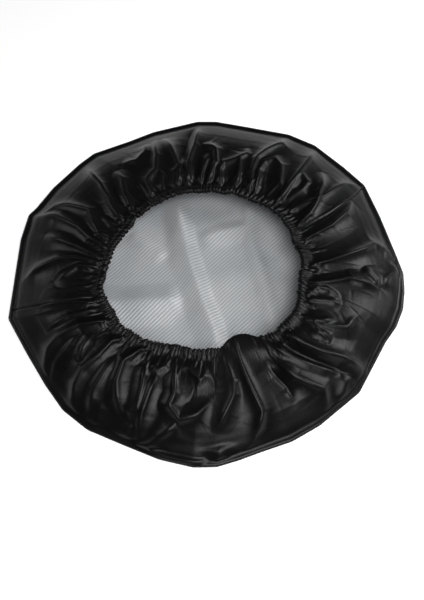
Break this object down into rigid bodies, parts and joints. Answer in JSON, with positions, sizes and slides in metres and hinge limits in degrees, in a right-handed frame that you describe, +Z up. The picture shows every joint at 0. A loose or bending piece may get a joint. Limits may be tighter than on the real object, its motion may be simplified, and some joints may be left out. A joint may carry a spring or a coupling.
{
  "type": "spare tyre cover",
  "caption": "Soft round cover for a spare tyre, lying collapsed on its face, with a sewn face disc and a band gathered onto an elastic mouth.",
  "frame": {"origin": "on the floor, under the middle of the cover's outline as it lies", "axes": "+Z up out of the mouth, +X to the right and +Y away from the viewer of the lying cover"},
  "size_m": [0.7382, 0.751, 0.062],
  "materials": {
    "black_vinyl": "satin faux leather",
    "grey_lining": "ribbed brushed knit, faintly silvery",
    "elastic": "braided",
    "thread": "twisted polyester"
  },
  "bodies": {
    "root": {"face_panel": "black_vinyl", "face_lining": "grey_lining", "band_panel_upper": "black_vinyl", "band_lining_upper": "grey_lining", "band_panel_lower": "black_vinyl", "band_lining_lower": "grey_lining", "hem_elastic": "elastic", "hem_stitching": "thread", "perimeter_stitching": "thread", "join_stitching_right": "thread", "join_stitching_left": "thread"}
  },
  "joints": []
}
